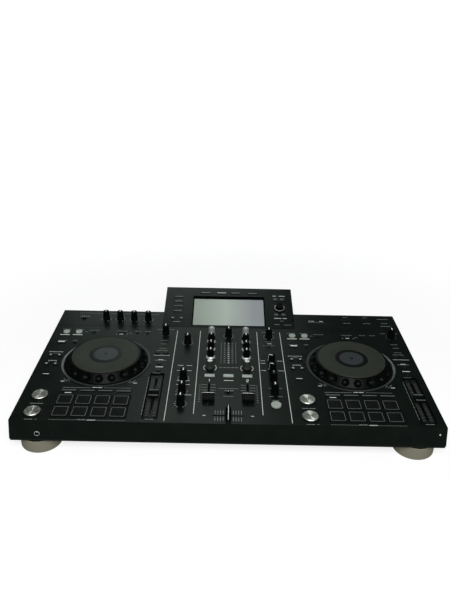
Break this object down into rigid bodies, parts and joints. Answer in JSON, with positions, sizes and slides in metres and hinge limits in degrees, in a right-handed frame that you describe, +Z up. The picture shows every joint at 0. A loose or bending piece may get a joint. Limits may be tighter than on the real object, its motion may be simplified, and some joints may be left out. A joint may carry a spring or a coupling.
{
  "type": "all-in-one DJ system",
  "caption": "Table-top DJ system: jog-wheel decks either side of a mixer on one wide flat panel, a tilted display housing behind it, round feet below.",
  "frame": {"origin": "centre of the footprint, on the table under the feet", "axes": "+X to the operator's right along the width, +Y from the operator to the back, +Z up"},
  "size_m": [0.736, 0.4692, 0.1051],
  "materials": {
    "case_plastic": "fine moulded grain",
    "screen_glass": "unlit glossy screen",
    "board": "solder mask",
    "bare_metal": "zinc plated",
    "socket_metal": "nickel plated",
    "foot_metal": "satin champagne",
    "trim": "satin grey",
    "knob_black": "rubberised",
    "knob_grey": "satin",
    "rim_black": "satin moulded",
    "jog_plate": "fine matt paint",
    "button_metal": "spun",
    "key_dark": "moulded",
    "key_pale": "translucent white",
    "pad_rubber": "silicone"
  },
  "bodies": {
    "chassis": {"upper_case": "case_plastic", "bottom_case": "case_plastic", "display_housing": "case_plastic", "display_module": "screen_glass", "circuit_boards": "board", "power_supply": "bare_metal", "sockets": "socket_metal", "feet": "foot_metal", "screws": "bare_metal", "jog_trim_rings": "trim"},
    "mic_knob_1": {"mic_knob_1": "knob_black"},
    "mic_knob_2": {"mic_knob_2": "knob_black"},
    "mic_knob_3": {"mic_knob_3": "knob_black"},
    "mic_knob_4": {"mic_knob_4": "knob_black"},
    "left_speed_knob": {"left_speed_knob": "knob_black"},
    "right_speed_knob": {"right_speed_knob": "knob_black"},
    "monitor_knob_1": {"monitor_knob_1": "knob_black"},
    "monitor_knob_2": {"monitor_knob_2": "knob_black"},
    "monitor_knob_3": {"monitor_knob_3": "knob_black"},
    "monitor_knob_4": {"monitor_knob_4": "knob_black"},
    "channel_1_trim_knob": {"channel_1_trim_knob": "knob_grey"},
    "channel_1_high_knob": {"channel_1_high_knob": "knob_black"},
    "channel_1_mid_knob": {"channel_1_mid_knob": "knob_black"},
    "channel_1_low_knob": {"channel_1_low_knob": "knob_black"},
    "channel_1_color_knob": {"channel_1_color_knob": "knob_grey"},
    "channel_2_trim_knob": {"channel_2_trim_knob": "knob_grey"},
    "channel_2_high_knob": {"channel_2_high_knob": "knob_black"},
    "channel_2_mid_knob": {"channel_2_mid_knob": "knob_black"},
    "channel_2_low_knob": {"channel_2_low_knob": "knob_black"},
    "channel_2_color_knob": {"channel_2_color_knob": "knob_grey"},
    "master_level_knob": {"master_level_knob": "knob_black"},
    "booth_level_knob": {"booth_level_knob": "knob_black"},
    "effect_selector": {"effect_selector": "knob_black"},
    "effect_channel_selector": {"effect_channel_selector": "knob_black"},
    "effect_time_knob": {"effect_time_knob": "knob_black"},
    "effect_depth_knob": {"effect_depth_knob": "knob_black"},
    "browse_knob": {"browse_knob": "knob_black"},
    "left_jog": {"left_jog_rim": "rim_black", "left_jog_plate": "jog_plate"},
    "left_tempo_fader": {"left_tempo_fader": "knob_black"},
    "left_cue_button": {"left_cue_button": "button_metal"},
    "left_play_button": {"left_play_button": "button_metal"},
    "left_pad_mat": {"left_pad_mat": "pad_rubber"},
    "left_deck_keys": {"left_deck_keys": "key_dark"},
    "right_jog": {"right_jog_rim": "rim_black", "right_jog_plate": "jog_plate"},
    "right_tempo_fader": {"right_tempo_fader": "knob_black"},
    "right_cue_button": {"right_cue_button": "button_metal"},
    "right_play_button": {"right_play_button": "button_metal"},
    "right_pad_mat": {"right_pad_mat": "pad_rubber"},
    "right_deck_keys": {"right_deck_keys": "key_dark"},
    "channel_1_fader": {"channel_1_fader": "knob_black"},
    "channel_2_fader": {"channel_2_fader": "knob_black"},
    "crossfader": {"crossfader": "knob_black"},
    "effect_button": {"effect_button": "key_pale"},
    "mixer_keys": {"mixer_keys": "key_pale"},
    "display_keys": {"display_keys": "key_dark"},
    "mic_selector": {"mic_selector": "knob_black"},
    "crossfader_curve_switch": {"crossfader_curve_switch": "knob_black"},
    "power_switch": {"power_switch": "knob_black"}
  },
  "joints": [
    {"name": "mic_knob_1_turn", "type": "hinge", "parent": "chassis", "child": "mic_knob_1", "pos_m": [-0.2645, 0.11645, 0.073], "axis": [0, 0, 1], "range_deg": [-150, 150]},
    {"name": "mic_knob_2_turn", "type": "hinge", "parent": "chassis", "child": "mic_knob_2", "pos_m": [-0.2343, 0.11645, 0.073], "axis": [0, 0, 1], "range_deg": [-150, 150]},
    {"name": "mic_knob_3_turn", "type": "hinge", "parent": "chassis", "child": "mic_knob_3", "pos_m": [-0.2041, 0.11645, 0.073], "axis": [0, 0, 1], "range_deg": [-150, 150]},
    {"name": "mic_knob_4_turn", "type": "hinge", "parent": "chassis", "child": "mic_knob_4", "pos_m": [-0.1739, 0.11645, 0.073], "axis": [0, 0, 1], "range_deg": [-150, 150]},
    {"name": "left_speed_knob_turn", "type": "hinge", "parent": "chassis", "child": "left_speed_knob", "pos_m": [-0.1305, 0.05905, 0.073], "axis": [0, 0, 1], "range_deg": [-150, 150]},
    {"name": "right_speed_knob_turn", "type": "hinge", "parent": "chassis", "child": "right_speed_knob", "pos_m": [0.3385, 0.05905, 0.073], "axis": [0, 0, 1], "range_deg": [-150, 150]},
    {"name": "monitor_knob_1_turn", "type": "hinge", "parent": "chassis", "child": "monitor_knob_1", "pos_m": [-0.083, 0.02295, 0.073], "axis": [0, 0, 1], "range_deg": [-150, 150]},
    {"name": "monitor_knob_2_turn", "type": "hinge", "parent": "chassis", "child": "monitor_knob_2", "pos_m": [-0.083, -0.10455, 0.073], "axis": [0, 0, 1], "range_deg": [-150, 150]},
    {"name": "monitor_knob_3_turn", "type": "hinge", "parent": "chassis", "child": "monitor_knob_3", "pos_m": [-0.083, -0.14655, 0.073], "axis": [0, 0, 1], "range_deg": [-150, 150]},
    {"name": "monitor_knob_4_turn", "type": "hinge", "parent": "chassis", "child": "monitor_knob_4", "pos_m": [-0.083, -0.18155, 0.073], "axis": [0, 0, 1], "range_deg": [-150, 150]},
    {"name": "channel_1_trim_knob_turn", "type": "hinge", "parent": "chassis", "child": "channel_1_trim_knob", "pos_m": [-0.035, 0.05245, 0.073], "axis": [0, 0, 1], "range_deg": [-150, 150]},
    {"name": "channel_1_high_knob_turn", "type": "hinge", "parent": "chassis", "child": "channel_1_high_knob", "pos_m": [-0.035, 0.02745, 0.073], "axis": [0, 0, 1], "range_deg": [-150, 150]},
    {"name": "channel_1_mid_knob_turn", "type": "hinge", "parent": "chassis", "child": "channel_1_mid_knob", "pos_m": [-0.035, -0.00155, 0.073], "axis": [0, 0, 1], "range_deg": [-150, 150]},
    {"name": "channel_1_low_knob_turn", "type": "hinge", "parent": "chassis", "child": "channel_1_low_knob", "pos_m": [-0.035, -0.03055, 0.073], "axis": [0, 0, 1], "range_deg": [-150, 150]},
    {"name": "channel_1_color_knob_turn", "type": "hinge", "parent": "chassis", "child": "channel_1_color_knob", "pos_m": [-0.035, -0.06755, 0.073], "axis": [0, 0, 1], "range_deg": [-150, 150]},
    {"name": "channel_2_trim_knob_turn", "type": "hinge", "parent": "chassis", "child": "channel_2_trim_knob", "pos_m": [0.035, 0.05245, 0.073], "axis": [0, 0, 1], "range_deg": [-150, 150]},
    {"name": "channel_2_high_knob_turn", "type": "hinge", "parent": "chassis", "child": "channel_2_high_knob", "pos_m": [0.035, 0.02745, 0.073], "axis": [0, 0, 1], "range_deg": [-150, 150]},
    {"name": "channel_2_mid_knob_turn", "type": "hinge", "parent": "chassis", "child": "channel_2_mid_knob", "pos_m": [0.035, -0.00155, 0.073], "axis": [0, 0, 1], "range_deg": [-150, 150]},
    {"name": "channel_2_low_knob_turn", "type": "hinge", "parent": "chassis", "child": "channel_2_low_knob", "pos_m": [0.035, -0.03055, 0.073], "axis": [0, 0, 1], "range_deg": [-150, 150]},
    {"name": "channel_2_color_knob_turn", "type": "hinge", "parent": "chassis", "child": "channel_2_color_knob", "pos_m": [0.035, -0.06755, 0.073], "axis": [0, 0, 1], "range_deg": [-150, 150]},
    {"name": "master_level_knob_turn", "type": "hinge", "parent": "chassis", "child": "master_level_knob", "pos_m": [0, 0.05245, 0.073], "axis": [0, 0, 1], "range_deg": [-150, 150]},
    {"name": "booth_level_knob_turn", "type": "hinge", "parent": "chassis", "child": "booth_level_knob", "pos_m": [0.083, 0.05145, 0.073], "axis": [0, 0, 1], "range_deg": [-150, 150]},
    {"name": "effect_selector_turn", "type": "hinge", "parent": "chassis", "child": "effect_selector", "pos_m": [0.083, -0.04855, 0.073], "axis": [0, 0, 1], "range_deg": [-170, 70]},
    {"name": "effect_channel_selector_turn", "type": "hinge", "parent": "chassis", "child": "effect_channel_selector", "pos_m": [0.083, -0.07855, 0.073], "axis": [0, 0, 1], "range_deg": [-165, 5]},
    {"name": "effect_time_knob_turn", "type": "hinge", "parent": "chassis", "child": "effect_time_knob", "pos_m": [0.083, -0.10755, 0.073], "axis": [0, 0, 1], "range_deg": [-150, 150]},
    {"name": "effect_depth_knob_turn", "type": "hinge", "parent": "chassis", "child": "effect_depth_knob", "pos_m": [0.083, -0.14455, 0.073], "axis": [0, 0, 1], "range_deg": [-150, 150]},
    {"name": "browse_knob_turn", "type": "hinge", "parent": "chassis", "child": "browse_knob", "pos_m": [0.1115, 0.15024, 0.08906], "axis": [0, -0.2419, 0.9703], "continuous": true},
    {"name": "left_jog_spin", "type": "hinge", "parent": "chassis", "child": "left_jog", "pos_m": [-0.2345, -0.05155, 0.073], "axis": [0, 0, 1], "continuous": true},
    {"name": "left_tempo_fader_slide", "type": "slide", "parent": "chassis", "child": "left_tempo_fader", "axis": [0, 1, 0], "range_m": [-0.05, 0.05]},
    {"name": "left_cue_button_press", "type": "slide", "parent": "chassis", "child": "left_cue_button", "axis": [0, 0, -1], "range_m": [0, 0.0008], "stiffness_N_per_m": 300, "springref_m": -0.003},
    {"name": "left_play_button_press", "type": "slide", "parent": "chassis", "child": "left_play_button", "axis": [0, 0, -1], "range_m": [0, 0.0008], "stiffness_N_per_m": 300, "springref_m": -0.003},
    {"name": "left_pad_mat_press", "type": "slide", "parent": "chassis", "child": "left_pad_mat", "axis": [0, 0, -1], "range_m": [0, 0.0008], "stiffness_N_per_m": 800, "springref_m": -0.003},
    {"name": "left_deck_keys_press", "type": "slide", "parent": "chassis", "child": "left_deck_keys", "axis": [0, 0, -1], "range_m": [0, 0.0008], "stiffness_N_per_m": 400, "springref_m": -0.003},
    {"name": "right_jog_spin", "type": "hinge", "parent": "chassis", "child": "right_jog", "pos_m": [0.2345, -0.05155, 0.073], "axis": [0, 0, 1], "continuous": true},
    {"name": "right_tempo_fader_slide", "type": "slide", "parent": "chassis", "child": "right_tempo_fader", "axis": [0, 1, 0], "range_m": [-0.05, 0.05]},
    {"name": "right_cue_button_press", "type": "slide", "parent": "chassis", "child": "right_cue_button", "axis": [0, 0, -1], "range_m": [0, 0.0008], "stiffness_N_per_m": 300, "springref_m": -0.003},
    {"name": "right_play_button_press", "type": "slide", "parent": "chassis", "child": "right_play_button", "axis": [0, 0, -1], "range_m": [0, 0.0008], "stiffness_N_per_m": 300, "springref_m": -0.003},
    {"name": "right_pad_mat_press", "type": "slide", "parent": "chassis", "child": "right_pad_mat", "axis": [0, 0, -1], "range_m": [0, 0.0008], "stiffness_N_per_m": 800, "springref_m": -0.003},
    {"name": "right_deck_keys_press", "type": "slide", "parent": "chassis", "child": "right_deck_keys", "axis": [0, 0, -1], "range_m": [0, 0.0008], "stiffness_N_per_m": 400, "springref_m": -0.003},
    {"name": "channel_1_fader_slide", "type": "slide", "parent": "chassis", "child": "channel_1_fader", "axis": [0, 1, 0], "range_m": [-0.016, 0.044]},
    {"name": "channel_2_fader_slide", "type": "slide", "parent": "chassis", "child": "channel_2_fader", "axis": [0, 1, 0], "range_m": [-0.016, 0.044]},
    {"name": "crossfader_slide", "type": "slide", "parent": "chassis", "child": "crossfader", "axis": [1, 0, 0], "range_m": [-0.0225, 0.0225]},
    {"name": "effect_button_press", "type": "slide", "parent": "chassis", "child": "effect_button", "axis": [0, 0, -1], "range_m": [0, 0.0008], "stiffness_N_per_m": 300, "springref_m": -0.003},
    {"name": "mixer_keys_press", "type": "slide", "parent": "chassis", "child": "mixer_keys", "axis": [0, 0, -1], "range_m": [0, 0.0008], "stiffness_N_per_m": 300, "springref_m": -0.003},
    {"name": "display_keys_press", "type": "slide", "parent": "chassis", "child": "display_keys", "axis": [0, 0.2419, -0.9703], "range_m": [0, 0.0008], "stiffness_N_per_m": 300, "springref_m": -0.003},
    {"name": "mic_selector_slide", "type": "slide", "parent": "chassis", "child": "mic_selector", "axis": [1, 0, 0], "range_m": [-0.004, 0.004]},
    {"name": "crossfader_curve_switch_slide", "type": "slide", "parent": "chassis", "child": "crossfader_curve_switch", "axis": [1, 0, 0], "range_m": [-0.004, 0.004]},
    {"name": "power_switch_rock", "type": "hinge", "parent": "chassis", "child": "power_switch", "pos_m": [-0.052, 0.22255, 0.0535], "axis": [-1, 0, 0], "range_deg": [0, 16]}
  ]
}
